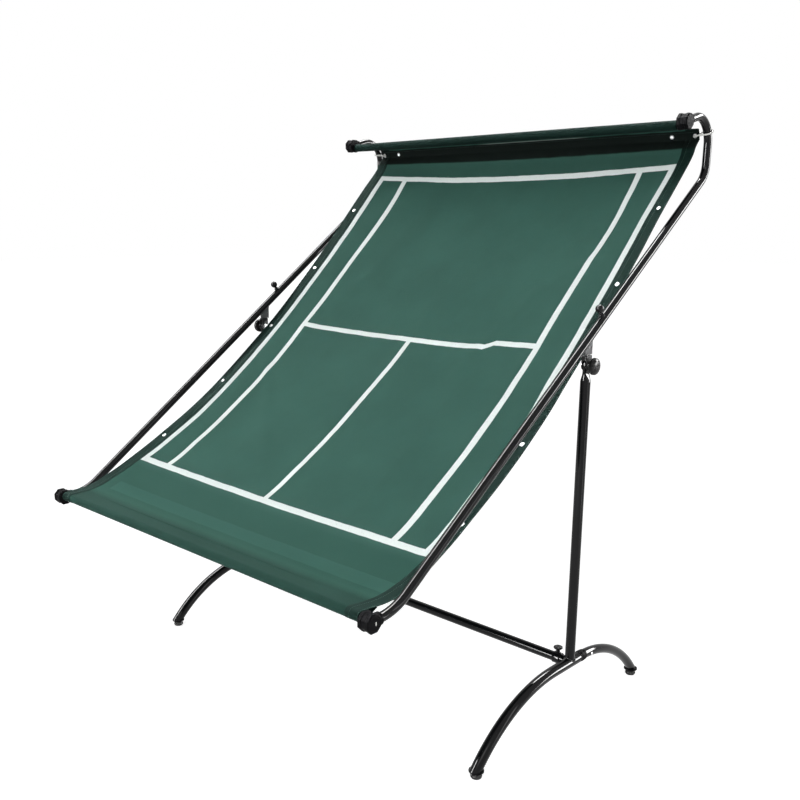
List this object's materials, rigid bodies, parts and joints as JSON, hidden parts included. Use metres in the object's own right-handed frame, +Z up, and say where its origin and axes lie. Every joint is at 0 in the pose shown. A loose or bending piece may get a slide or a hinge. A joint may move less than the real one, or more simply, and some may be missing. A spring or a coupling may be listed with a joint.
{
  "type": "tennis rebound net",
  "caption": "Sloping cloth sheet stretched between hooked side rails that tilt on two posts with arched feet and a stretcher, for hitting a tennis ball back to one player.",
  "frame": {"origin": "centre of the bounding box in X and Y, on the floor under the pads", "axes": "+X to the right for a player who faces the sheet, +Y away from the player, +Z up"},
  "size_m": [1.4096, 1.4632, 1.7069],
  "materials": {
    "black_gloss_paint": "smooth gloss black powder coat on steel tube",
    "black_moulding": "fine-grained black moulded plastic, half matt",
    "black_satin_paint": "half-matt black powder coat on steel",
    "grey_satin_paint": "half-matt dark grey coat on steel plate",
    "bare_steel": "plain bright steel",
    "black_rubber": "matt black rubber",
    "green_cloth": "tightly woven dark green cloth with white printed court lines and stitched hems",
    "pale_elastic": "off-white braided elastic cord"
  },
  "bodies": {
    "base": {"foot_front_arch_right": "black_gloss_paint", "foot_front_arch_left": "black_gloss_paint", "foot_joint_collar_right": "black_moulding", "foot_joint_collar_left": "black_moulding", "foot_back_arch_right": "black_gloss_paint", "foot_back_arch_left": "black_gloss_paint", "foot_cap_front_right": "black_moulding", "foot_cap_front_left": "black_moulding", "foot_cap_back_right": "black_moulding", "foot_cap_back_left": "black_moulding", "post_right": "black_gloss_paint", "post_left": "black_gloss_paint", "pivot_bolt_right": "bare_steel", "pivot_bolt_left": "bare_steel", "stretcher": "black_gloss_paint"},
    "panel": {"lower_rail_right": "black_gloss_paint", "lower_rail_left": "black_gloss_paint", "upper_rail_right": "black_gloss_paint", "upper_rail_left": "black_gloss_paint", "gusset_plate_right": "grey_satin_paint", "gusset_plate_left": "grey_satin_paint", "tilt_bracket_right": "black_satin_paint", "tilt_bracket_left": "black_satin_paint", "corner_piece_top_right": "black_moulding", "corner_piece_top_left": "black_moulding", "corner_piece_bottom_right": "black_moulding", "corner_piece_bottom_left": "black_moulding", "top_eyelet_right": "bare_steel", "top_eyelet_left": "bare_steel", "toe_eyelet_right": "bare_steel", "toe_eyelet_left": "bare_steel", "side_eyelet_1_right": "bare_steel", "side_eyelet_1_left": "bare_steel", "side_eyelet_2_right": "bare_steel", "side_eyelet_2_left": "bare_steel", "side_eyelet_3_right": "bare_steel", "side_eyelet_3_left": "bare_steel", "side_eyelet_4_right": "bare_steel", "side_eyelet_4_left": "bare_steel", "side_eyelet_5_right": "bare_steel", "side_eyelet_5_left": "bare_steel", "top_corner_cord_right": "pale_elastic", "top_corner_cord_left": "pale_elastic", "toe_corner_cord_right": "pale_elastic", "toe_corner_cord_left": "pale_elastic", "top_crossbar": "black_gloss_paint", "bottom_crossbar": "black_gloss_paint", "rebound_sheet": "green_cloth"},
    "pivot_knob_right": {"pivot_knob_right": "black_moulding"},
    "ball_knob_right": {"ball_knob_right": "black_moulding"},
    "stretcher_knob_right": {"stretcher_knob_right": "black_moulding"},
    "snap_button_right": {"snap_button_right": "bare_steel"},
    "levelling_pad_front_right": {"levelling_pad_front_right": "black_rubber"},
    "levelling_pad_back_right": {"levelling_pad_back_right": "black_rubber"},
    "pivot_knob_left": {"pivot_knob_left": "black_moulding"},
    "ball_knob_left": {"ball_knob_left": "black_moulding"},
    "stretcher_knob_left": {"stretcher_knob_left": "black_moulding"},
    "snap_button_left": {"snap_button_left": "bare_steel"},
    "levelling_pad_front_left": {"levelling_pad_front_left": "black_rubber"},
    "levelling_pad_back_left": {"levelling_pad_back_left": "black_rubber"}
  },
  "joints": [
    {"name": "panel_tilt", "type": "hinge", "parent": "base", "child": "panel", "pos_m": [0, 0.11173, 1.03], "axis": [1, 0, 0], "range_deg": [-35.7, 35]},
    {"name": "pivot_knob_turn_right", "type": "hinge", "parent": "base", "child": "pivot_knob_right", "pos_m": [0.6918, 0.11173, 1.03], "axis": [1, 0, 0], "continuous": true},
    {"name": "ball_knob_turn_right", "type": "hinge", "parent": "panel", "child": "ball_knob_right", "pos_m": [0.67, 0.21486, 1.10411], "axis": [0, -0.5835, 0.8121], "continuous": true},
    {"name": "stretcher_knob_turn_right", "type": "hinge", "parent": "base", "child": "stretcher_knob_right", "pos_m": [0.63, 0.11173, 0.2], "axis": [0, 0, 1], "continuous": true},
    {"name": "snap_button_press_right", "type": "slide", "parent": "base", "child": "snap_button_right", "axis": [-1, 0, 0], "range_m": [0, 0.004], "stiffness_N_per_m": 800, "springref_m": -0.002},
    {"name": "levelling_pad_turn_front_right", "type": "hinge", "parent": "base", "child": "levelling_pad_front_right", "pos_m": [0.67, -0.3135, 0], "axis": [0, 0, 1], "continuous": true},
    {"name": "levelling_pad_turn_back_right", "type": "hinge", "parent": "base", "child": "levelling_pad_back_right", "pos_m": [0.67, 0.4793, 0], "axis": [0, 0, 1], "continuous": true},
    {"name": "pivot_knob_turn_left", "type": "hinge", "parent": "base", "child": "pivot_knob_left", "pos_m": [-0.6918, 0.11173, 1.03], "axis": [1, 0, 0], "continuous": true},
    {"name": "ball_knob_turn_left", "type": "hinge", "parent": "panel", "child": "ball_knob_left", "pos_m": [-0.67, 0.21486, 1.10411], "axis": [0, -0.5835, 0.8121], "continuous": true},
    {"name": "stretcher_knob_turn_left", "type": "hinge", "parent": "base", "child": "stretcher_knob_left", "pos_m": [-0.63, 0.11173, 0.2], "axis": [0, 0, 1], "continuous": true},
    {"name": "snap_button_press_left", "type": "slide", "parent": "base", "child": "snap_button_left", "axis": [1, 0, 0], "range_m": [0, 0.004], "stiffness_N_per_m": 800, "springref_m": -0.002},
    {"name": "levelling_pad_turn_front_left", "type": "hinge", "parent": "base", "child": "levelling_pad_front_left", "pos_m": [-0.67, -0.3135, 0], "axis": [0, 0, 1], "continuous": true},
    {"name": "levelling_pad_turn_back_left", "type": "hinge", "parent": "base", "child": "levelling_pad_back_left", "pos_m": [-0.67, 0.4793, 0], "axis": [0, 0, 1], "continuous": true}
  ]
}
